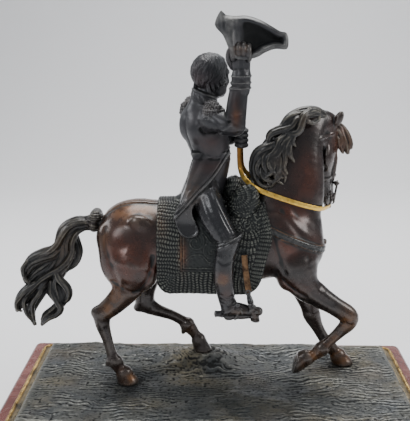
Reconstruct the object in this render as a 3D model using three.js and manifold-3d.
// Equestrian statuette: a bronze rider in a tail coat, raising a two-cornered hat, on a pacing bronze horse.
// The horse stands on a bronze ground in a gilt frame, and the frame lies on a low red marble plinth.
// Millimetres, +X where the horse walks, +Z up, origin at the middle of the plinth's underside.
import * as THREE from "three";
import Module from "manifold-3d";

const wasm = await Module();
wasm.setup();

// The driving dimensions.
const FIGURE_HEIGHT = 355; // from the ground to the top of the raised hat
const GROUND_LENGTH = 370; // the bronze ground inside its frame
const GROUND_DEPTH = 165;
const GROUND_THICKNESS = 12;
const GROUND_ROLL = 6; // how far the ground's edge rounds down to the frame
const FRAME_WIDTH = 10;
const FRAME_HEIGHT = 4;
const BEAD_RADIUS = 2.2; // the round bead along the frame's outer edge
const PLINTH_MARGIN = 13; // bare marble around the frame
const PLINTH_HEIGHT = 36;
const PLINTH_ROUNDING = 5;
const PLINTH_FOOT = 3; // how far the plinth's foot stands out
const FIGURE_SETBACK = 15.5; // the horse stands this far behind the middle of the ground
const CLOTH_THICKNESS = 3.4;
const REIN_WIDTH = 5.2;
const REIN_THICKNESS = 1.5;
const STRAP_WIDTH = 5.6;
const STRAP_THICKNESS = 1.6;
const IRON_RADIUS = 1.6;
const GAP = 0.35; // between pieces that touch

// The figure keeps its pose as shares of its height: it is laid out in 355 parts of that height.
const PARTS_IN_HEIGHT = 355;
const PART = FIGURE_HEIGHT / PARTS_IN_HEIGHT;
const GROUND_LEVEL = PLINTH_HEIGHT + GROUND_THICKNESS;

const BRONZE = { color: 0x3a2a24, roughness: 0.34, metalness: 0.85 };
const DARK_BRONZE = { color: 0x22262a, roughness: 0.45, metalness: 0.8 };
const GROUND_BRONZE = { color: 0x4b4a46, roughness: 0.55, metalness: 0.7 };
const GILT = { color: 0xc79a3a, roughness: 0.35, metalness: 0.9 };
const WORN_GILT = { color: 0x8a5a34, roughness: 0.4, metalness: 0.85 };
const MARBLE = { color: 0x7a3e38, roughness: 0.25, metalness: 0 };

const FAR = 1e3;
const radians = THREE.MathUtils.degToRad;
const mirrored = (point) => [point[0], -point[1], ...point.slice(2)];

// The lower of two distances, with the corner between them rounded over the given softness.
function softMin(a, b, soft) {
  const h = Math.max(soft - Math.abs(a - b), 0);
  return Math.min(a, b) - (h * h) / (4 * soft);
}

// A smooth path through points that hold a place and a radius, cut into short steps.
function smoothPath(points, steps = 4) {
  const path = [];
  for (let i = 0; i + 1 < points.length; i++) {
    const [a, b, c, d] = [-1, 0, 1, 2].map((k) => points[Math.min(Math.max(i + k, 0), points.length - 1)]);
    for (let s = 0; s < steps; s++) {
      const t = s / steps;
      path.push(
        b.map(
          (_, j) =>
            0.5 *
            (2 * b[j] +
              (c[j] - a[j]) * t +
              (2 * a[j] - 5 * b[j] + 4 * c[j] - d[j]) * t * t +
              (3 * b[j] - a[j] - 3 * c[j] + d[j]) * t * t * t),
        ),
      );
    }
  }
  path.push(points[points.length - 1]);
  return path;
}

// A round limb along a path of [x, y, z, radius]. flat thins it along the direction across.
function limb(points, { flat = 1, across = [0, 1, 0], steps = 4 } = {}) {
  const path = smoothPath(points, steps);
  const widest = Math.max(...path.map((p) => p[3]));
  const more = 1 / (flat * flat) - 1;
  const spans = path.slice(1).map((end, i) => {
    const start = path[i];
    const along = [0, 1, 2].map((k) => end[k] - start[k]);
    return { start, along, grow: end[3] - start[3], square: along[0] ** 2 + along[1] ** 2 + along[2] ** 2 };
  });
  return {
    low: [0, 1, 2].map((k) => Math.min(...path.map((p) => p[k])) - widest),
    high: [0, 1, 2].map((k) => Math.max(...path.map((p) => p[k])) + widest),
    distance(x, y, z) {
      let nearest = FAR;
      for (const { start, along, grow, square } of spans) {
        const dx = x - start[0];
        const dy = y - start[1];
        const dz = z - start[2];
        const share = (dx * along[0] + dy * along[1] + dz * along[2]) / square;
        const t = Math.min(Math.max(share, 0), 1);
        const ox = dx - t * along[0];
        const oy = dy - t * along[1];
        const oz = dz - t * along[2];
        const side = ox * across[0] + oy * across[1] + oz * across[2];
        const off = Math.sqrt(ox * ox + oy * oy + oz * oz + more * side * side);
        nearest = Math.min(nearest, off - start[3] - t * grow);
      }
      return nearest;
    },
  };
}

// An egg with its own three radii, turned by roll about X, then pitch about Y, then yaw about Z, in degrees.
function egg(centre, radii, { yaw = 0, pitch = 0, roll = 0 } = {}) {
  const turn = new THREE.Matrix4().makeRotationFromEuler(
    new THREE.Euler(radians(roll), radians(pitch), radians(yaw), "ZYX"),
  );
  const m = turn.transpose().elements;
  const reach = Math.max(...radii);
  return {
    low: centre.map((c) => c - reach),
    high: centre.map((c) => c + reach),
    distance(x, y, z) {
      const dx = x - centre[0];
      const dy = y - centre[1];
      const dz = z - centre[2];
      const a = (m[0] * dx + m[4] * dy + m[8] * dz) / radii[0];
      const b = (m[1] * dx + m[5] * dy + m[9] * dz) / radii[1];
      const c = (m[2] * dx + m[6] * dy + m[10] * dz) / radii[2];
      const k = Math.hypot(a, b, c);
      const slope = Math.hypot(a / radii[0], b / radii[1], c / radii[2]);
      return slope > 0 ? (k * (k - 1)) / slope : -Math.min(...radii);
    },
  };
}

// Several forms run together into one.
function merged(forms, soft) {
  return {
    low: [0, 1, 2].map((k) => Math.min(...forms.map((f) => f.low[k]))),
    high: [0, 1, 2].map((k) => Math.max(...forms.map((f) => f.high[k]))),
    distance: (x, y, z) => forms.reduce((d, f) => softMin(d, f.distance(x, y, z), soft), FAR),
  };
}

// Everything on the far side of a plane, near a point on it.
function beyond(point, normal, reach) {
  const size = Math.hypot(...normal);
  return {
    low: point.map((p) => p - reach),
    high: point.map((p) => p + reach),
    distance: (x, y, z) =>
      ((point[0] - x) * normal[0] + (point[1] - y) * normal[1] + (point[2] - z) * normal[2]) / size,
  };
}

// A slab of the given width: all that lies near a plane, inside a box.
function slab(point, normal, width, low, high) {
  const size = Math.hypot(...normal);
  return {
    low,
    high,
    distance(x, y, z) {
      const off = ((x - point[0]) * normal[0] + (y - point[1]) * normal[1] + (z - point[2]) * normal[2]) / size;
      const out = Math.max(low[0] - x, x - high[0], low[1] - y, y - high[1], low[2] - z, z - high[2]);
      return Math.max(Math.abs(off) - width / 2, out);
    },
  };
}

// How far a place lies outside a closed outline of [x, z] points. Inside it is below zero.
function outsideOf(outline) {
  const sides = outline.map(([x, z], i) => {
    const [u, w] = outline[(i + 1) % outline.length];
    return { x, z, dx: u - x, dz: w - z, square: (u - x) ** 2 + (w - z) ** 2 };
  });
  return (x, z) => {
    let nearest = FAR;
    let inside = false;
    for (const side of sides) {
      const ox = x - side.x;
      const oz = z - side.z;
      const t = Math.min(Math.max((ox * side.dx + oz * side.dz) / side.square, 0), 1);
      nearest = Math.min(nearest, (ox - t * side.dx) ** 2 + (oz - t * side.dz) ** 2);
      const above = oz < 0 !== z - side.z - side.dz < 0;
      if (above && ox < (oz / side.dz) * side.dx) inside = !inside;
    }
    return inside ? -Math.sqrt(nearest) : Math.sqrt(nearest);
  };
}

// A plate that fills an outline in x and z, between two depths y that may vary over it.
function plate(outline, depths, rounding) {
  const outside = outsideOf(outline);
  const range = outline.flatMap(([x, z]) => depths(x, z));
  return {
    low: [Math.min(...outline.map((p) => p[0])), Math.min(...range), Math.min(...outline.map((p) => p[1]))],
    high: [Math.max(...outline.map((p) => p[0])), Math.max(...range), Math.max(...outline.map((p) => p[1]))],
    distance(x, y, z) {
      const [front, back] = depths(x, z);
      return -softMin(-outside(x, z), Math.min(y - front, back - y), rounding);
    },
  };
}

// Modelling clay: distances to a surface on a grid of points, built up and cut back by forms.
class Clay {
  constructor(low, high, cell) {
    this.low = low;
    this.cell = cell;
    this.count = low.map((l, k) => Math.ceil((high[k] - l) / cell) + 1);
    this.field = new Float32Array(this.count[0] * this.count[1] * this.count[2]).fill(FAR);
  }

  work(form, reach, join) {
    const { low, cell, count, field } = this;
    const margin = reach + 2 * cell;
    const first = low.map((l, k) => Math.max(0, Math.floor((form.low[k] - margin - l) / cell)));
    const last = low.map((l, k) => Math.min(count[k] - 1, Math.ceil((form.high[k] + margin - l) / cell)));
    for (let k = first[2]; k <= last[2]; k++)
      for (let j = first[1]; j <= last[1]; j++)
        for (let i = first[0]; i <= last[0]; i++) {
          const at = i + count[0] * (j + count[1] * k);
          const there = form.distance(low[0] + i * cell, low[1] + j * cell, low[2] + k * cell);
          field[at] = join(field[at], there);
        }
    return this;
  }

  add(form, soft = 4) {
    return this.work(form, soft, (a, b) => softMin(a, b, soft));
  }

  cut(form, soft = 1) {
    return this.work(form, soft, (a, b) => -softMin(-a, b, soft));
  }

  // Raises what is already there, inside a form, as a strap or a cuff lies on it.
  raise(form, height) {
    return this.work(form, height, (a, b) => Math.min(a, Math.max(a - height, b)));
  }

  // The surface where the distance is zero, from cubes cut into six tetrahedra each.
  surface() {
    const { low, cell, count, field } = this;
    const [nx, ny, nz] = count;
    const steps = [1, nx, nx * ny];
    const orders = [
      [0, 1, 2],
      [1, 2, 0],
      [2, 0, 1],
      [0, 2, 1],
      [2, 1, 0],
      [1, 0, 2],
    ];
    const corners = orders.map(([a, b]) => [0, 1 << a, (1 << a) | (1 << b), 7]);
    const step = (corner) => [0, 1, 2].reduce((sum, k) => sum + ((corner >> k) & 1) * steps[k], 0);
    const steps8 = [...Array(8).keys()].map(step);
    const known = new Map();
    const points = [];
    const faces = [];
    const place = (at, corner, k) => low[k] + cell * ((Math.floor(at / steps[k]) % count[k]) + ((corner >> k) & 1));
    const crossing = (at, c, d) => {
      const [p, q] = c < d ? [c, d] : [d, c];
      const key = (at + steps8[p]) * 8 + (q - p);
      if (!known.has(key)) {
        const vp = field[at + steps8[p]];
        const vq = field[at + steps8[q]];
        const t = Math.min(Math.max(vp / (vp - vq), 0.05), 0.95);
        known.set(key, points.length);
        points.push([0, 1, 2].map((k) => place(at, p, k) * (1 - t) + place(at, q, k) * t));
      }
      return known.get(key);
    };
    const middle = (list) => [0, 1, 2].map((k) => list.reduce((sum, n) => sum + ((n >> k) & 1), 0) / list.length);
    const face = (at, edges, inside, outside) => {
      const [a, b, c] = edges.map(([p, q]) => crossing(at, p, q));
      const [m, u, v] = edges.map(middle);
      const out = middle(outside).map((x, k) => x - middle(inside)[k]);
      const facing = new THREE.Matrix3(...out, ...u.map((x, k) => x - m[k]), ...v.map((x, k) => x - m[k]));
      faces.push(facing.determinant() > 0 ? [a, b, c] : [a, c, b]);
    };
    for (let k = 0; k + 1 < nz; k++)
      for (let j = 0; j + 1 < ny; j++)
        for (let i = 0; i + 1 < nx; i++) {
          const at = i + nx * (j + ny * k);
          const solid = steps8.filter((s) => field[at + s] < 0).length;
          if (solid === 0 || solid === 8) continue;
          for (const tetrahedron of corners) {
            const inside = tetrahedron.filter((c) => field[at + steps8[c]] < 0);
            const outside = tetrahedron.filter((c) => field[at + steps8[c]] >= 0);
            if (inside.length === 1) face(at, outside.map((o) => [inside[0], o]), inside, outside);
            if (outside.length === 1) face(at, inside.map((n) => [n, outside[0]]), inside, outside);
            if (inside.length === 2) {
              const [[a, b], [c, d]] = [inside, outside];
              face(at, [[a, c], [a, d], [b, c]], inside, outside);
              face(at, [[a, d], [b, d], [b, c]], inside, outside);
            }
          }
        }
    return { points, faces };
  }
}

// The wanted number of faces, by closing the edges that change the surface least.
function simplified({ points, faces }, wanted) {
  const place = points.map((p) => [...p]);
  const around = points.map(() => new Set());
  const alive = new Array(faces.length).fill(true);
  const corners = faces.map((f) => [...f]);
  const quadric = points.map(() => new Float64Array(10));
  const plane = ([a, b, c]) => {
    const [u, v] = [b, c].map((n) => [0, 1, 2].map((k) => place[n][k] - place[a][k]));
    const n = [u[1] * v[2] - u[2] * v[1], u[2] * v[0] - u[0] * v[2], u[0] * v[1] - u[1] * v[0]];
    const size = Math.hypot(...n) || 1e-12;
    const unit = n.map((x) => x / size);
    return { unit, size, offset: -(unit[0] * place[a][0] + unit[1] * place[a][1] + unit[2] * place[a][2]) };
  };
  corners.forEach((f, n) => {
    const { unit, size, offset } = plane(f);
    const p = [...unit, offset];
    for (const v of f) {
      around[v].add(n);
      let at = 0;
      for (let i = 0; i < 4; i++) for (let j = i; j < 4; j++) quadric[v][at++] += p[i] * p[j] * size;
    }
  });
  const error = (q, [x, y, z]) =>
    q[0] * x * x + 2 * q[1] * x * y + 2 * q[2] * x * z + 2 * q[3] * x + q[4] * y * y +
    2 * q[5] * y * z + 2 * q[6] * y + q[7] * z * z + 2 * q[8] * z + q[9];
  const best = (q, a, b) => {
    const matrix = new THREE.Matrix3(q[0], q[1], q[2], q[1], q[4], q[5], q[2], q[5], q[7]);
    const scale = (q[0] + q[4] + q[7]) / 3;
    const middle = [0, 1, 2].map((k) => (place[a][k] + place[b][k]) / 2);
    if (matrix.determinant() > 1e-3 * scale ** 3) {
      const v = new THREE.Vector3(-q[3], -q[6], -q[8]).applyMatrix3(matrix.invert());
      const reach = Math.hypot(...[0, 1, 2].map((k) => place[a][k] - place[b][k]));
      if (Math.hypot(v.x - middle[0], v.y - middle[1], v.z - middle[2]) < reach) return [v.x, v.y, v.z];
    }
    const choices = [middle, place[a], place[b]];
    return choices.reduce((low, p) => (error(q, p) < error(q, low) ? p : low));
  };
  const stamp = new Int32Array(points.length);
  const heap = [];
  const lift = (entry) => {
    let i = heap.push(entry) - 1;
    while (i > 0) {
      const up = (i - 1) >> 1;
      if (heap[up].cost <= heap[i].cost) break;
      [heap[up], heap[i]] = [heap[i], heap[up]];
      i = up;
    }
  };
  const lowest = () => {
    const top = heap[0];
    const last = heap.pop();
    if (!heap.length) return top;
    heap[0] = last;
    for (let i = 0; ; ) {
      const left = 2 * i + 1;
      if (left >= heap.length) break;
      const small = left + 1 < heap.length && heap[left + 1].cost < heap[left].cost ? left + 1 : left;
      if (heap[i].cost <= heap[small].cost) break;
      [heap[i], heap[small]] = [heap[small], heap[i]];
      i = small;
    }
    return top;
  };
  const offer = (a, b) => {
    const q = quadric[a].map((x, i) => x + quadric[b][i]);
    const at = best(q, a, b);
    const length = Math.hypot(...[0, 1, 2].map((k) => place[a][k] - place[b][k]));
    lift({ cost: Math.max(error(q, at), 0) + 2e-3 * length ** 3, a, b, at, stamps: stamp[a] + stamp[b] });
  };
  const neighbours = (v) => {
    const found = new Set();
    for (const f of around[v]) for (const n of corners[f]) if (n !== v) found.add(n);
    return found;
  };
  for (const [a, b, c] of corners) {
    if (a < b) offer(a, b);
    if (b < c) offer(b, c);
    if (c < a) offer(c, a);
  }
  const turnsOver = (v, other, at) => {
    for (const f of around[v]) {
      if (corners[f].includes(other)) continue;
      const before = plane(corners[f]).unit;
      const old = place[v];
      place[v] = at;
      const { unit, size } = plane(corners[f]);
      place[v] = old;
      if (size < 1e-4 || unit[0] * before[0] + unit[1] * before[1] + unit[2] * before[2] < 0.3) return true;
    }
    return false;
  };
  let left = faces.length;
  while (left > wanted && heap.length) {
    const { a, b, at, stamps } = lowest();
    if (!around[a].size || !around[b].size || stamps !== stamp[a] + stamp[b]) continue;
    const near = neighbours(a);
    if (!near.has(b)) continue;
    const shared = [...neighbours(b)].filter((n) => near.has(n));
    if (shared.length !== 2 || turnsOver(a, b, at) || turnsOver(b, a, at)) continue;
    place[a] = at;
    quadric[a] = quadric[a].map((x, i) => x + quadric[b][i]);
    for (const f of around[b]) {
      if (corners[f].includes(a)) {
        alive[f] = false;
        left--;
        for (const n of corners[f]) if (n !== b) around[n].delete(f);
      } else {
        corners[f] = corners[f].map((n) => (n === b ? a : n));
        around[a].add(f);
      }
    }
    around[b] = new Set();
    stamp[a] += 1 + stamp[b];
    for (const n of neighbours(a)) offer(a, n);
  }
  const used = new Map();
  const kept = corners.filter((_, f) => alive[f]);
  for (const f of kept) for (const n of f) if (!used.has(n)) used.set(n, used.size);
  return { points: [...used.keys()].map((n) => place[n]), faces: kept.map((f) => f.map((n) => used.get(n))) };
}

// A closed mesh as a solid that can be joined and cut.
function solidOf({ points, faces }) {
  return new wasm.Manifold(
    new wasm.Mesh({
      numProp: 3,
      vertProperties: new Float32Array(points.flat()),
      triVerts: new Uint32Array(faces.flat()),
    }),
  );
}

function meshOf(solid) {
  const { numProp, vertProperties, triVerts } = solid.getMesh();
  const points = [];
  for (let i = 0; i < vertProperties.length; i += numProp) points.push([...vertProperties.slice(i, i + 3)]);
  const faces = [];
  for (let i = 0; i < triVerts.length; i += 3) faces.push([...triVerts.slice(i, i + 3)]);
  return { points, faces };
}

// The same surface with every face moved out by at least the gap.
function swollen({ points, faces }, gap) {
  const normals = points.map(() => []);
  for (const [a, b, c] of faces) {
    const [u, v] = [b, c].map((n) => new THREE.Vector3(...points[n].map((x, k) => x - points[a][k])));
    const n = u.cross(v).normalize();
    for (const corner of [a, b, c]) normals[corner].push(n);
  }
  const moved = points.map((p, i) => {
    const mean = normals[i].reduce((sum, n) => sum.add(n), new THREE.Vector3()).normalize();
    const least = Math.max(Math.min(...normals[i].map((n) => n.dot(mean))), 0.35);
    return p.map((x, k) => x + (mean.getComponent(k) * gap) / least);
  });
  return { points: moved, faces };
}

// The largest of a solid's separate bodies.
function mainBody(solid) {
  return solid.decompose().reduce((big, body) => (body.volume() > big.volume() ? body : big));
}

function geometryOf(solid) {
  const { points, faces } = meshOf(solid);
  const geometry = new THREE.BufferGeometry();
  geometry.setAttribute("position", new THREE.Float32BufferAttribute(points.flat(), 3));
  geometry.setIndex(faces.flat());
  geometry.computeVertexNormals();
  return geometry;
}

const scaled = ({ points, faces }, factor) => ({ points: points.map((p) => p.map((x) => x * factor)), faces });
const shifted = ({ points, faces }, by) => ({ points: points.map((p) => p.map((x, k) => x + by[k])), faces });

// A strip of rectangular section along points, its width lying along the given direction.
function strip(route, width, thickness, upright) {
  const curve = new THREE.CatmullRomCurve3(route.map((p) => new THREE.Vector3(...p)));
  const rings = 3 * (route.length - 1);
  const points = [];
  const faces = [];
  for (let i = 0; i <= rings; i++) {
    const at = curve.getPoint(i / rings);
    const along = curve.getTangent(i / rings);
    const flat = new THREE.Vector3(...upright).cross(along).normalize();
    const wide = along.clone().cross(flat).normalize();
    for (const [a, b] of [[-1, -1], [1, -1], [1, 1], [-1, 1]]) {
      const corner = at.clone().addScaledVector(wide, (a * width) / 2).addScaledVector(flat, (b * thickness) / 2);
      points.push(corner.toArray());
    }
  }
  for (let i = 0; i < rings; i++)
    for (let s = 0; s < 4; s++) {
      const [a, b] = [4 * i + s, 4 * i + ((s + 1) % 4)];
      faces.push([a, b + 4, b], [a, a + 4, b + 4]);
    }
  const end = 4 * rings;
  faces.push([0, 2, 3], [0, 1, 2], [end, end + 2, end + 1], [end, end + 3, end + 2]);
  return { points, faces };
}

// The horse. Near is the side with y below 0. Every point is [x, y, z, radius] in parts of the figure.
const BARREL = merged(
  [
    limb(
      [
        [-84, 0, 142, 28],
        [-70, 0, 140, 37.5],
        [-40, 0, 140, 39.5],
        [0, 0, 139, 41],
        [38, 0, 143, 41],
        [64, 0, 146, 36],
        [78, 0, 142, 24],
      ],
      { flat: 0.82 },
    ),
    egg([40, 0, 174], [26, 9, 15]),
    egg([-88, -13, 148], [24, 15, 21]),
    egg([-88, 13, 148], [24, 15, 21]),
  ],
  8,
);

const NECK = limb(
  [
    [57, 0, 156, 36],
    [62.5, 0, 180, 34.5],
    [69, 2, 204, 28],
    [74, 5, 228, 21.5],
    [82, 9, 246, 17.5],
    [94, 15, 254, 13],
    [104, 20, 253, 10],
  ],
  { flat: 0.52 },
);

// What joins the barrel: the points of the shoulders, the shoulders, the haunches and the neck, with their softness.
const TRUNK = [-1, 1].flatMap((side) => [
  [egg([84, 11 * side, 136], [17.5, 14, 22]), 7],
  [egg([66, 19 * side, 140], [22, 13, 34], { pitch: -18 }), 10],
  [egg([-84, 20 * side, 130], [27.5, 13, 33], { pitch: 8 }), 8],
]);
TRUNK.push([NECK, 10]);

// The head hangs from the poll and looks round to the far side.
const POLL = [106, 22, 252];
const HEAD_TURN = radians(65);
const HEAD_FORWARD = [Math.cos(HEAD_TURN), Math.sin(HEAD_TURN), 0];
const HEAD_RIGHT = [Math.sin(HEAD_TURN), -Math.cos(HEAD_TURN), 0];
const HEAD_DOWN = [0.1 * HEAD_FORWARD[0], 0.1 * HEAD_FORWARD[1], -1];

// A point of the head, from how far it lies forward, to the right and down of the poll.
function onHead([forward, right, down, ...radius]) {
  const at = POLL.map((p, k) => p + forward * HEAD_FORWARD[k] + right * HEAD_RIGHT[k] + down * HEAD_DOWN[k]);
  return [...at, ...radius];
}

function addTrunk(clay) {
  clay.add(BARREL, 4);
  for (const [form, soft] of TRUNK) clay.add(form, soft);
}

function addLeg(clay, path, options) {
  clay.add(limb(path, { flat: 0.78, ...options }), 4);
}

// A hoof: a short cone from the coronet down to the sole, cut flat there.
function addHoof(clay, coronet, sole, radius, down = [0, 0, -1]) {
  const cone = limb([[...coronet, radius * 0.7], [...sole, radius]], { flat: 0.86, steps: 1 });
  const end = beyond(sole, down, 1);
  clay.add({ ...cone, distance: (x, y, z) => Math.max(cone.distance(x, y, z), -end.distance(x, y, z)) }, 1.5);
}

function addLegs(clay) {
  addLeg(clay, [
    [-79, -19, 124, 26],
    [-83, -21, 107, 17.5],
    [-88.5, -23, 95, 12.8],
    [-98.5, -23, 83.5, 10.6],
    [-109.5, -23, 73, 9],
    [-110.5, -23, 62, 7.2],
    [-106.5, -23, 46, 5.3],
    [-102.8, -23, 31, 5.3],
    [-100, -23, 22, 7.2],
    [-94.5, -23, 13.5, 5.6],
  ]);
  clay.add(egg([-116.5, -23, 75], [5, 4, 6], { pitch: 30 }), 3);
  addHoof(clay, [-91, -23, 9.5], [-88, -23, 0], 11);
  addLeg(clay, [
    [-76, 19, 122, 26],
    [-72, 21, 106, 18.5],
    [-71.5, 21, 92, 12.8],
    [-73.5, 21, 78, 10.2],
    [-73, 21, 66, 9.8],
    [-62, 21, 58.5, 6.9],
    [-46, 21, 52.5, 5.4],
    [-34.5, 21, 46, 5.6],
    [-29.5, 21, 41.5, 7.2],
    [-22.5, 21, 32, 5.5],
    [-18.5, 21, 26, 5.8],
  ]);
  clay.add(egg([-80, 21, 61], [6, 4, 5]), 3);
  addHoof(clay, [-18.5, 21, 25.5], [-14.5, 21, 13], 9.6);
  addLeg(clay, [
    [75, -20, 124, 20],
    [82, -22, 106, 15.5],
    [95, -22, 94, 12],
    [112, -22, 83, 9.4],
    [126, -22, 73, 9.4],
    [127, -22, 65, 8],
    [118, -22, 54, 5.8],
    [108, -22, 43.5, 5.5],
    [101.5, -22, 36, 7],
    [93, -22, 28.5, 5.2],
  ]);
  clay.add(egg([66, -21, 108], [8, 8, 9]), 6);
  addHoof(clay, [88, -22, 27.5], [77, -22, 22.3], 10.8, [-0.97, 0, 0.24]);
  addLeg(clay, [
    [72, 20, 122, 20],
    [78, 20, 104, 15],
    [86, 20, 84, 11],
    [94, 20, 66, 9],
    [97.5, 20, 55, 9],
    [103.5, 20, 42, 6.4],
    [111, 20, 29, 5.8],
    [116, 20, 21, 7.4],
    [124, 20, 13, 5.8],
  ]);
  addHoof(clay, [127, 20, 9], [131.5, 20, 0], 11);
}

function addHead(clay) {
  const across = HEAD_RIGHT;
  const turned = { yaw: 65 };
  const skull = [
    [-2, 0, 2, 9],
    [1, 0, 12, 12],
    [1, 0, 26, 12.5],
    [2, 0, 40, 10.5],
    [2.5, 0, 54, 8.2],
    [3, 0, 66, 7.2],
    [2.5, 0, 75, 7.6],
    [1, 0, 80, 6],
  ];
  clay.add(limb(skull.map(onHead), { flat: 0.68, across }), 5);
  clay.add(limb([[-8, 0, 38, 9], [-6.5, 0, 56, 7], [-5, 0, 70, 6], [-4, 0, 76, 5]].map(onHead), { flat: 0.7, across }), 3);
  for (const side of [-1, 1]) {
    clay.add(egg(onHead([-9, 4 * side, 31]), [11, 4.4, 14], turned), 3);
    clay.add(egg(onHead([7, 6.8 * side, 24]), [4, 2.6, 3.2], turned), 1.5);
    clay.add(egg(onHead([4.5, 4.4 * side, 75]), [3.6, 2.4, 3.4], turned), 2);
    clay.cut(egg(onHead([8, 5.8 * side, 76]), [1.8, 1.6, 2.2], turned), 1);
    clay.add(limb([[-1, 5 * side, 2, 3], [-1, 9.5 * side, -4, 4.6], [-1, 12.5 * side, -11.5, 1.8]].map(onHead)), 1.5);
    clay.add(egg(onHead([2, 8.6 * side, 60]), [2.6, 2.4, 2.6], turned), 1);
  }
  clay.cut(limb([[-6, 0, 79, 1], [9, 0, 81, 1]].map(onHead)), 1);
}

// Locks of hair: each is a path of [x, y, z, radius].
const MANE = [
  [[95, 8, 263, 5], [84, 1, 266, 5.6], [75, -3, 264.5, 5.6], [67, -6, 259, 4.6], [61, -8, 253, 2]],
  [[84, -5, 261, 4], [77, -9, 257, 5], [70, -12, 251.5, 4.6], [61, -13, 247, 4], [53, -13, 245, 3.4], [46, -12, 241, 1.8]],
  [[75, 0, 257, 6.5], [66, -3, 250, 6.5], [58, -5, 242, 7]],
  [[72, -11, 250, 4.5], [65, -13, 244, 5], [57, -14, 240, 5], [48, -14, 235, 4.6], [40, -13, 229.5, 3.6], [34, -12, 225, 1.8]],
  [[58, -3, 241, 8], [48, -6, 231, 8], [41.5, -8, 222, 8], [38.5, -10, 213, 7.6], [38.5, -11, 205, 5.5], [42, -13, 199, 3.5]],
  [[63, -13, 240, 4.5], [57, -15, 232, 4.6], [49, -16, 226, 4.4], [43, -17, 219, 4.4], [41, -17, 211, 4], [44, -17, 204, 3.4],
    [51, -16, 200, 1.8]],
  [[62, -13, 237, 4], [60, -15, 229, 4], [54, -16, 222, 4.2], [50, -17, 216, 4], [50, -17, 209, 3.6], [56, -16.5, 207, 3],
    [60, -16, 211, 1.6]],
  [[91, -6, 259, 2.8], [84, -10, 262, 4.2], [77, -9.5, 260, 2]],
  [[88, 14, 262, 4.5], [76, 16, 256, 5.5], [66, 18, 246, 5.5], [57, 18, 236, 4.5], [49, 17, 228, 2]],
  [[70, 8, 254, 6], [58, 12, 243, 6.5], [49, 15, 231, 6.5], [43, 15, 219, 6], [42, 14, 208, 2.6]],
  [[60, 8, 240, 6], [52, 15, 228, 6], [48, 17, 214, 5.5], [51, 18, 203, 4], [57, 18, 196, 1.8]],
];
const FORELOCK = [
  [[107, 24, 256, 4.5], [115, 30, 250, 4.5], [121, 33, 243, 4.2], [127, 33, 235, 3.6], [130, 32, 228, 2]],
  [[108, 26, 254, 4], [115, 33, 245, 4.5], [120, 36, 236, 4], [125, 36, 228, 3.2], [127, 35, 221, 1.8]],
  [[107, 28, 252, 3.5], [111, 35, 243, 4], [112, 38, 233, 3.5], [111, 39, 224, 2]],
];
const TAIL = [
  [[-106, 0, 161, 9], [-118, 0, 159.5, 8], [-127, 0, 157.5, 7], [-136, 0, 155.5, 8.5], [-144, 0, 149, 10],
    [-147.5, 0, 139, 10.5], [-148, 0, 128, 11], [-153, 0, 117, 11], [-161, 0, 108, 9]],
  [[-150, -3, 138, 6], [-158, -6, 130, 7], [-168, -7, 126.5, 7.5], [-178, -6, 121, 7], [-185, -5, 112, 5.5],
    [-188, -4, 103, 3.4], [-188, -3, 97, 1.8]],
  [[-158, -1, 124, 6], [-168, -2, 116, 6.5], [-177, -2, 108, 6], [-183, -3, 101, 4]],
  [[-143, 2, 146, 7], [-139, 3, 136, 6], [-138, 3, 127, 6.5], [-142, 2, 118, 6.5], [-150, 1, 112, 5.5]],
  [[-160, 0, 112, 7], [-170, 0, 103, 7.5], [-180, -1, 93, 7], [-190, -2, 83, 7.5], [-196, -3, 75, 5.5], [-199, -3, 67, 2]],
  [[-168, 3, 97, 7], [-177, 4, 85, 7], [-184, 4, 73, 6], [-187, 3, 63, 4.5], [-184, 2, 50, 1.8]],
  [[-153, -3, 108, 5.5], [-156, -5, 101, 5], [-153, -5, 92, 6], [-151.5, -5, 83, 6], [-156, -5, 75, 5], [-162, -4, 69, 4.5],
    [-170, -4, 62, 4.5], [-175, -3, 52, 1.8]],
  [[-160, 2, 105, 6.5], [-163, 3, 95, 6.5], [-164, 3, 86, 6], [-160, 2, 78, 4.5], [-158, 1, 73, 3]],
];

function addHair(clay) {
  for (const lock of [...MANE, ...FORELOCK]) clay.add(limb(lock, { steps: 3 }), 2);
  for (const lock of TAIL) clay.add(limb(lock, { steps: 3 }), 2);
  clay.add(limb([[-116.5, -4, 165.5, 4.4], [-116.5, 4, 165.5, 4.4]], { steps: 1 }), 1.5);
  clay.add(egg([-118.5, 0, 158], [6, 10.5, 8.5]), 1.5);
}

// The breast strap with its boss, and the crupper along the croup.
function addHarness(clay) {
  clay.raise(slab([105, 0, 136], [0.4, 0, 0.92], 5, [40, -40, 125], [112, 40, 172]), 1.4);
  clay.raise(slab([0, 0, 0], [0, 1, 0], 5.5, [-112, -6, 160], [-50, 6, 190]), 1.4);
  clay.add(egg([106, 0, 139.5], [3, 3.6, 4]), 1);
}

// The ground. Its height is level under each foot and rises to the toe of the stepping hind foot.
const FEET = [
  { x: -88, y: -23, rise: 0 },
  { x: -12, y: 21, rise: 13.5 },
  { x: 131, y: 20, rise: 0 },
];

function groundHeight(x, y) {
  const mound = (cx, cy, rx, ry, rise) => rise * Math.exp(-(((x - cx) / rx) ** 2) - ((y - cy) / ry) ** 2);
  let height =
    mound(-26, 22, 40, 22, 12) + mound(88, 44, 26, 18, 3.4) + mound(30, -62, 60, 22, 2.4) + mound(-120, 30, 34, 30, 2);
  height += 0.7 * Math.sin(x / 13 + 1.3 * Math.sin(y / 17)) + 0.5 * Math.sin(y / 9 + x / 31);
  for (const foot of FEET) {
    const off = Math.hypot(x - foot.x * PART, y - foot.y * PART) / (20 * PART);
    const hold = Math.max(0, 1 - off * off) ** 2;
    height += (foot.rise * PART - height) * Math.min(1, 2.2 * hold);
  }
  return height;
}

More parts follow.
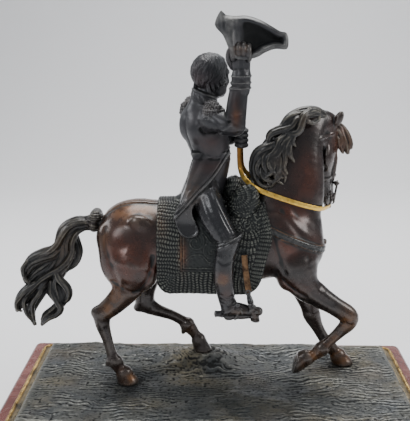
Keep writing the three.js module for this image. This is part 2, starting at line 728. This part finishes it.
// A block whose top follows the ground, with its edges rolled down to the frame.
function groundBlock() {
  const [columns, rows] = [44, 20];
  const [half, deep] = [GROUND_LENGTH / 2, GROUND_DEPTH / 2];
  const points = [];
  const faces = [];
  const at = (i, j, under) => (under ? (columns + 1) * (rows + 1) : 0) + j * (columns + 1) + i;
  for (const under of [false, true])
    for (let j = 0; j <= rows; j++)
      for (let i = 0; i <= columns; i++) {
        const x = -half * Math.cos((Math.PI * i) / columns) * 0.25 + half * 0.75 * ((2 * i) / columns - 1);
        const y = -deep * Math.cos((Math.PI * j) / rows) * 0.25 + deep * 0.75 * ((2 * j) / rows - 1);
        const inset = Math.min(half - Math.abs(x), deep - Math.abs(y));
        const roll = Math.max(0, 1 - inset / GROUND_ROLL);
        const edge = FRAME_HEIGHT + 1;
        const top = GROUND_THICKNESS + groundHeight(x, y - FIGURE_SETBACK);
        points.push([x, y, under ? 0 : top + (edge - top) * roll ** 2]);
      }
  for (let j = 0; j < rows; j++)
    for (let i = 0; i < columns; i++) {
      const [a, b, c, d] = [at(i, j), at(i + 1, j), at(i + 1, j + 1), at(i, j + 1)];
      faces.push([a, b, c], [a, c, d]);
      const [e, f, g, h] = [at(i, j, true), at(i + 1, j, true), at(i + 1, j + 1, true), at(i, j + 1, true)];
      faces.push([e, g, f], [e, h, g]);
    }
  const wall = (p, q) => {
    const step = (columns + 1) * (rows + 1);
    faces.push([p, p + step, q + step], [p, q + step, q]);
  };
  for (let i = 0; i < columns; i++) {
    wall(at(i, 0), at(i + 1, 0));
    wall(at(i + 1, rows), at(i, rows));
  }
  for (let j = 0; j < rows; j++) {
    wall(at(0, j + 1), at(0, j));
    wall(at(columns, j), at(columns, j + 1));
  }
  return { points, faces };
}

// Rings of a rounded rectangle, one for each [outset, height] of a profile, closed at both ends or into a frame.
function moulding(length, depth, corner, profile, closed) {
  const turns = 3;
  const points = [];
  for (const [outset, height] of profile)
    for (let quarter = 0; quarter < 4; quarter++) {
      const radius = Math.max(corner + outset, 0.01);
      const sx = quarter === 0 || quarter === 3 ? 1 : -1;
      const sy = quarter < 2 ? 1 : -1;
      for (let s = 0; s <= turns; s++) {
        const angle = (Math.PI / 2) * (quarter + s / turns);
        points.push([
          sx * (length / 2 - corner) + radius * Math.cos(angle),
          sy * (depth / 2 - corner) + radius * Math.sin(angle),
          height,
        ]);
      }
    }
  const ring = 4 * (turns + 1);
  const faces = [];
  const rings = closed ? profile.length : profile.length - 1;
  for (let i = 0; i < rings; i++)
    for (let s = 0; s < ring; s++) {
      const [a, b] = [i * ring + s, i * ring + ((s + 1) % ring)];
      const [c, d] = [a, b].map((n) => (n + ring) % points.length);
      faces.push([a, b, d], [a, d, c]);
    }
  if (!closed) {
    const top = (profile.length - 1) * ring;
    for (let s = 1; s + 1 < ring; s++) faces.push([0, s + 1, s], [top, top + s, top + s + 1]);
  }
  return { points, faces };
}

function plinth() {
  const margin = FRAME_WIDTH + PLINTH_MARGIN;
  const r = PLINTH_ROUNDING;
  const profile = [
    [PLINTH_FOOT, 0],
    [PLINTH_FOOT, PLINTH_HEIGHT * 0.2],
    [PLINTH_FOOT * 0.5, PLINTH_HEIGHT * 0.27],
    [0, PLINTH_HEIGHT * 0.3],
  ];
  for (let s = 0; s <= 4; s++) {
    const angle = (Math.PI / 2) * (s / 4);
    profile.push([-r + r * Math.cos(angle), PLINTH_HEIGHT - r + r * Math.sin(angle)]);
  }
  return moulding(GROUND_LENGTH + 2 * margin, GROUND_DEPTH + 2 * margin, r + 2, profile, false);
}

function frame() {
  const bead = [];
  for (let s = 0; s <= 5; s++) {
    const angle = radians(-60 + 42 * s);
    bead.push([FRAME_WIDTH - BEAD_RADIUS * (1 - Math.cos(angle)), FRAME_HEIGHT * 0.5 + BEAD_RADIUS * Math.sin(angle)]);
  }
  const profile = [[GAP, 0], [FRAME_WIDTH - BEAD_RADIUS, 0], ...bead, [GAP, FRAME_HEIGHT]];
  return moulding(GROUND_LENGTH, GROUND_DEPTH, GAP, profile, true);
}

// The horse, cut level with the ground under its feet.
function horse() {
  const clay = new Clay([-204, -48, -14], [148, 54, 280], 2.5);
  addTrunk(clay);
  addLegs(clay);
  addHead(clay);
  addHair(clay);
  addHarness(clay);
  return scaled(simplified(clay.surface(), 3480), PART);
}

// The saddle and its cloth: the trunk's own form, a little larger, hanging straight from its widest height.
const CLOTH_REAR = -56;
const CLOTH_HEM = 99.5;
const CLOTH_WIDEST = 138;
const CLOTH_BEDDING = 9; // where it lies on the back it starts this deep in it, and is then cut clear of the horse
const CLOTH_FRONT = new THREE.CatmullRomCurve3(
  [[99, 24], [103, 35], [114, 41.5], [137, 46.5], [158, 50.5], [175, 45.5], [188, 39], [198, 30], [210, 18]].map(
    ([z, x]) => new THREE.Vector3(x, 0, z),
  ),
)
  .getPoints(40)
  .map((p) => [p.x, p.z]);

function clothFront(z) {
  const above = CLOTH_FRONT.findIndex((p) => p[1] >= z);
  if (above < 1) return CLOTH_FRONT[above === 0 ? 0 : CLOTH_FRONT.length - 1][0];
  const [[x0, z0], [x1, z1]] = [CLOTH_FRONT[above - 1], CLOTH_FRONT[above]];
  return x0 + ((x1 - x0) * (z - z0)) / (z1 - z0);
}

function saddle() {
  const thickness = CLOTH_THICKNESS / PART;
  const low = [CLOTH_REAR - 8, -50, CLOTH_HEM - 7.5];
  const high = [Math.max(...CLOTH_FRONT.map((p) => p[0])) + 7.5, 50, Math.max(...CLOTH_FRONT.map((p) => p[1])) + 4];
  const trunk = (x, y, z) =>
    TRUNK.reduce((near, [form, soft]) => softMin(near, form.distance(x, y, z), soft), BARREL.distance(x, y, z));
  const clay = new Clay(low, high, 2.3);
  clay.add(
    {
      low,
      high,
      distance(x, y, z) {
        const off = trunk(x, y, Math.max(z, CLOTH_WIDEST)) - 1;
        const under = CLOTH_BEDDING * Math.min(Math.max((z - CLOTH_WIDEST) / CLOTH_BEDDING, 0), 1);
        const inside = softMin(softMin(x - CLOTH_REAR, clothFront(z) - x, 8), z - CLOTH_HEM, 14);
        return -softMin(Math.min(thickness - off, off + under), inside, 1.5);
      },
    },
    1,
  );
  clay.add(egg([-12, 0, 182], [30, 20, 8]), 5);
  clay.add(egg([16, 0, 190], [12, 16, 15]), 5);
  for (const side of [-1, 1]) clay.add(egg([24, 21 * side, 182], [13, 9, 20], { pitch: 25 }), 6);
  return scaled(simplified(clay.surface(), 600), PART);
}

// The rider.
const HEAD_YAW = 35;
const TORSO_YAW = 30;
const HEAD_MIDDLE = [-6, 0, 297];

// A point of the rider's head, from how far it lies before, to the left of and above the head's middle.
function onFace([forward, left, up, ...radius]) {
  const turn = radians(HEAD_YAW);
  return [
    HEAD_MIDDLE[0] + forward * Math.cos(turn) - left * Math.sin(turn),
    HEAD_MIDDLE[1] + forward * Math.sin(turn) + left * Math.cos(turn),
    HEAD_MIDDLE[2] + up,
    ...radius,
  ];
}

function addRiderHead(clay) {
  const turned = { yaw: HEAD_YAW };
  clay.add(egg(onFace([-2, 0, 5]), [18, 15.5, 16], turned), 2);
  clay.add(egg(onFace([5, 0, -6]), [11.5, 11, 14.5], turned), 7);
  clay.add(limb([[14.5, 0, 1, 1.6], [18, 0, -6, 2.4]].map(onFace)), 3);
  clay.add(egg(onFace([12, 0, -16]), [3.6, 4.4, 3.2], turned), 3);
  for (const side of [-1, 1]) {
    clay.cut(egg(onFace([16.5, 6 * side, 0]), [3, 3.6, 2.2], turned), 2);
    clay.add(egg(onFace([0, 14 * side, -3]), [3.2, 2.2, 5], turned), 1.5);
    clay.add(limb([[16, 2.5 * side, 3, 1.6], [13, 9 * side, 3.5, 1.4]].map(onFace)), 3);
  }
  clay.add(limb([[-13, -2, 274, 10], [-8, -1, 292, 9.5]]), 3);
  clay.add(limb([[-14, -2, 271, 13.5], [-11.5, -2, 278, 12], [-11, -2, 282, 11.6]]), 1.5);
}

function addTorso(clay) {
  const turn = radians(TORSO_YAW);
  const across = [Math.sin(turn), -Math.cos(turn), 0];
  const depth = [Math.cos(turn), Math.sin(turn), 0];
  const column = [
    [-10, 0, 194, 18],
    [-7, 0, 208, 19],
    [-4.5, 0, 221, 19],
    [-7, -1, 233, 21],
    [-11, -2, 246, 22.5],
    [-15, -3, 257, 20],
    [-16, -3, 265, 15],
  ];
  clay.add(limb(column, { flat: 0.82, across: depth }), 4);
  const beside = (distance, height) => [-16, -3, height].map((v, k) => v + distance * across[k]);
  for (const reach of [-18, 22]) {
    const side = Math.sign(reach);
    clay.add(egg(beside(reach - 2 * side, 261), [10, 11, 10], { yaw: TORSO_YAW }), 6);
    clay.add(egg(beside(reach + side, 269.5), [8.4, 9.5, 4.4], { yaw: TORSO_YAW, roll: 18 * side }), 1);
    clay.add(egg(beside(reach + 6 * side, 265), [7.6, 5, 5], { yaw: TORSO_YAW }), 1);
  }
  clay.add(egg([-12, 0, 194], [18, 20, 13]), 6);
}

function addArms(clay) {
  clay.add(limb([[-4, -24, 262, 10.5], [6, -29, 258, 10], [15.5, -32, 257, 9]]), 3);
  clay.add(limb([[15.5, -32, 257, 9], [16.2, -32, 270, 9], [17.8, -32, 284, 8.4], [19.5, -32, 294, 7.8]]), 1.5);
  clay.add(limb([[19.6, -32, 289, 8.8], [20.8, -32, 299, 8.6]], { steps: 1 }), 0.8);
  clay.add(limb([[21, -32, 301, 6.4], [20.3, -32, 309, 6.8], [20, -33, 316, 7.8], [20, -33, 321, 7.6]], { flat: 0.85 }), 1);
  clay.add(limb([[-25, 16, 260, 10], [-21, 29, 247, 9.5], [-16, 34, 235, 9]]), 4);
  clay.add(limb([[-17, 35, 234, 9], [-4, 27, 236, 8.4], [9, 17, 239, 7.6]]), 2);
  clay.add(limb([[7, 18, 239, 8.4], [12, 14.5, 240, 8.4]], { steps: 1 }), 1);
  clay.add(egg([21, 7, 241], [7, 7, 8], { yaw: -35 }), 2);
}

// The coat's skirts: each is drawn back from the waist to a tail, with a turned-back outer fold.
const SKIRT = [
  [10, 228],
  [4.4, 218.7],
  [-4.4, 207.4],
  [-14, 197],
  [-20, 186],
  [-21, 176],
  [-15.5, 163],
  [-16, 158],
  [-20, 155],
  [-26.3, 153.5],
  [-33, 157],
  [-37.5, 165],
  [-38.8, 173],
  [-34.5, 184.5],
  [-29.6, 197],
  [-26, 211],
  [-22, 224],
  [-23, 230],
];
const SKIRT_FOLD = [
  [12, 230],
  [4.4, 218.7],
  [-4.4, 207.4],
  [-17.7, 194.8],
  [-26.7, 184.4],
  [-38, 172],
  [-39.4, 174],
  [-35.2, 184.5],
  [-30.2, 197],
  [-26.6, 211],
  [-22.5, 224],
  [-22, 230],
];

function addSkirts(clay) {
  const flare = (z) => 16.5 + 17.5 * Math.min(Math.max((224 - z) / 60, 0), 1);
  for (const side of [-1, 1]) {
    const depths = (proud, x, z) => {
      const edges = [side * (flare(z) + proud), side * 6];
      return edges.sort((a, b) => a - b);
    };
    clay.add(plate(SKIRT, (x, z) => depths(0, x, z), 4), 2);
    clay.add(plate(SKIRT_FOLD, (x, z) => depths(2, x, z), 3), 1);
  }
}

function addRiderLegs(clay) {
  for (const turn of [(p) => p, mirrored]) {
    const thigh = [
      [-14, -17, 195, 15],
      [-9, -27, 188, 14.5],
      [-2.5, -34, 173, 12.8],
      [6.5, -40, 158, 9.6],
    ];
    const boot = [
      [9.5, -42, 155, 10],
      [8.2, -43, 146, 8.8],
      [7.5, -43.5, 134, 9.2],
      [7, -44, 118, 8.8],
      [9, -44, 101, 7.6],
      [11, -44, 88, 6.4],
    ];
    const foot = [
      [11, -44, 85, 6.2],
      [21, -45, 87.5, 5.6],
      [31, -46, 88.5, 5],
      [38.5, -46.5, 89.5, 4.2],
    ];
    clay.add(limb(thigh.map(turn)), 3);
    clay.add(limb(boot.map(turn), { flat: 0.92 }), 0.8);
    clay.add(limb(foot.map(turn)), 2);
    clay.add(limb([[11, -44, 79.5, 4], [13, -44, 79.5, 4]].map(turn), { steps: 1 }), 0.8);
    clay.add(limb([[6, -44, 83.5, 2.2], [-1, -44, 83.5, 2.4]].map(turn), { steps: 1 }), 0.8);
  }
}

// The hat: a boat-shaped shell whose hollow faces the near side.
const HAT = [
  [-2.7, 343.3],
  [2, 354.9],
  [5.5, 351.5],
  [13.5, 350.3],
  [24, 350.5],
  [34.6, 347.5],
  [44.2, 342.5],
  [52, 338],
  [57.4, 336.5],
  [59.4, 330],
  [57.8, 323.3],
  [48.5, 323.4],
  [40, 320.5],
  [33, 316.5],
  [22, 314.5],
  [12, 317],
  [8.5, 325],
  [4.1, 334.5],
];

// Rings drawn in from the outline, out over the crown and back inside the hollow.
function hat() {
  const [cx, cz] = [25, 334];
  const near = -43;
  const wall = 2.2;
  const crown = 15;
  const rings = [[0.88, near + 0.6], [0.97, near - 0.6], [1, near + 0.5], [1, near + 3]];
  for (const reach of [0.84, 0.6, 0.34]) rings.push([reach, near + 3 + crown * (1 - reach ** 2)]);
  const inner = [0.3, 0.54, 0.78].map((reach) => [reach, near + 3 - wall + (crown - 1) * (0.94 - reach ** 2)]);
  const apex = [near + 3 + crown, near + 3 - wall + (crown - 1) * 0.94];
  const points = [...rings, ...inner].flatMap(([reach, y]) =>
    HAT.map(([x, z]) => [cx + reach * (x - cx), y, cz + reach * (z - cz)]),
  );
  points.push([cx, apex[0], cz], [cx, apex[1], cz]);
  const count = HAT.length;
  const faces = [];
  for (let s = 0; s < count; s++) {
    const next = (s + 1) % count;
    for (let ring = 0; ring < 10; ring++) {
      if (ring === 6) continue;
      const [a, b] = [ring * count + s, ring * count + next];
      const [c, d] = ring === 9 ? [s, next] : [a + count, b + count];
      faces.push([a, b, d], [a, d, c]);
    }
    faces.push([6 * count + s, 6 * count + next, 10 * count]);
    faces.push([7 * count + next, 7 * count + s, 10 * count + 1]);
  }
  return scaled({ points, faces }, PART);
}

function rider() {
  const clay = new Clay([-48, -62, 70], [70, 62, 362], 2.2);
  addTorso(clay);
  addSkirts(clay);
  addRiderLegs(clay);
  addArms(clay);
  addRiderHead(clay);
  return scaled(simplified(clay.surface(), 1950), PART);
}

// The reins run from the left fist down past the neck on each side to the bit.
const NEAR_REIN = [
  [20, 5, 231],
  [20.5, 2, 212],
  [26, -6, 203],
  [37, -18, 196.5],
  [54, -20.5, 190],
  [76, -19, 182.5],
  [94, -9, 176],
  [108, 12, 171.5],
];
const FAR_REIN = [
  [22.5, 9, 231],
  [24, 12, 212],
  [32, 18, 201],
  [46, 22.5, 192],
  [64, 24, 186],
  [84, 27, 180.5],
  [97, 33, 178],
];

const inFigure = (route) => route.map((p) => p.map((x) => x * PART));

function rein(route) {
  return strip(inFigure(route), REIN_WIDTH, REIN_THICKNESS, [0.6, 0.2, 1]);
}

function stirrupStrap(turn) {
  const route = [[25, -41.5, 140], [26.3, -43, 126], [28, -44.5, 114], [29.7, -45.5, 105]].map(turn);
  return strip(inFigure(route), STRAP_WIDTH, STRAP_THICKNESS, [1, 0, 0]);
}

// The stirrup iron: an eye, two branches and a tread around the foot.
function stirrupIron(turn) {
  const near = turn([0, -64])[1];
  const clay = new Clay([20, near < 0 ? near : 30, 72], [46, near < 0 ? -30 : near, 112], 1.2);
  const r = IRON_RADIUS / PART;
  const branches = [
    [30.5, -45.8, 99.5],
    [32.5, -52, 94],
    [35, -54.5, 87.5],
    [36, -53.5, 81.5],
    [36, -46, 80.4],
    [36, -38.5, 81.5],
    [35, -38, 87.5],
    [32.5, -40, 94],
    [30.5, -45.8, 99.5],
  ];
  clay.add(limb(branches.map((p) => turn([...p, r]))), 1);
  clay.add(limb([[33.5, -46, 80.4, r], [38.5, -46, 80.4, r]].map(turn), { steps: 1 }), 4);
  clay.add(limb([[29.6, -45.6, 103.6, r], [30.5, -45.8, 99.5, r]].map(turn), { steps: 1 }), 1);
  return scaled(simplified(clay.surface(), 170), PART);
}

const straight = (point) => point;
const ground = simplified(groundBlock(), 640);
const underFeet = shifted(ground, [0, -FIGURE_SETBACK, GAP - GROUND_THICKNESS]);
const horseBody = mainBody(solidOf(horse()).subtract(solidOf(underFeet)));
const aroundHorse = solidOf(swollen(meshOf(horseBody), GAP));
const saddleBody = mainBody(solidOf(saddle()).subtract(aroundHorse));
const aroundSaddle = solidOf(swollen(meshOf(saddleBody), GAP));
const riderBody = mainBody(solidOf(rider()).add(solidOf(hat())).subtract(aroundSaddle).subtract(aroundHorse));
const aroundRider = solidOf(swollen(meshOf(riderBody), GAP));

// A small piece cut clear of everything that it touches.
function fitted(mesh, ...others) {
  const clear = [aroundHorse, aroundSaddle, aroundRider, ...others];
  return mainBody(clear.reduce((solid, other) => solid.subtract(other), solidOf(mesh)));
}

const nearStrap = fitted(stirrupStrap(straight));
const farStrap = fitted(stirrupStrap(mirrored));
const nearIron = fitted(stirrupIron(straight), solidOf(swollen(meshOf(nearStrap), GAP)));
const farIron = fitted(stirrupIron(mirrored), solidOf(swollen(meshOf(farStrap), GAP)));
const nearRein = fitted(rein(NEAR_REIN));
const farRein = fitted(rein(FAR_REIN));

function piece(name, solid, look) {
  const mesh = new THREE.Mesh(geometryOf(solid), new THREE.MeshStandardMaterial(look));
  mesh.name = name;
  return mesh;
}

const base = new THREE.Group();
base.add(piece("marble_plinth", solidOf(plinth()), MARBLE));
const onPlinth = new THREE.Group();
onPlinth.position.z = PLINTH_HEIGHT;
onPlinth.add(piece("ground", solidOf(ground), GROUND_BRONZE));
onPlinth.add(piece("gilt_frame", solidOf(frame()), GILT));
base.add(onPlinth);

const figure = new THREE.Group();
figure.position.set(0, FIGURE_SETBACK, GROUND_LEVEL);
figure.add(piece("horse", horseBody, BRONZE));
figure.add(piece("saddle_and_cloth", saddleBody, DARK_BRONZE));
figure.add(piece("rider", riderBody, BRONZE));
figure.add(piece("rein_right", nearRein, GILT));
figure.add(piece("rein_left", farRein, GILT));
figure.add(piece("stirrup_strap_right", nearStrap, WORN_GILT));
figure.add(piece("stirrup_strap_left", farStrap, WORN_GILT));
figure.add(piece("stirrup_iron_right", nearIron, DARK_BRONZE));
figure.add(piece("stirrup_iron_left", farIron, DARK_BRONZE));

const statuette = new THREE.Group();
statuette.add(base, figure);
export default statuette;
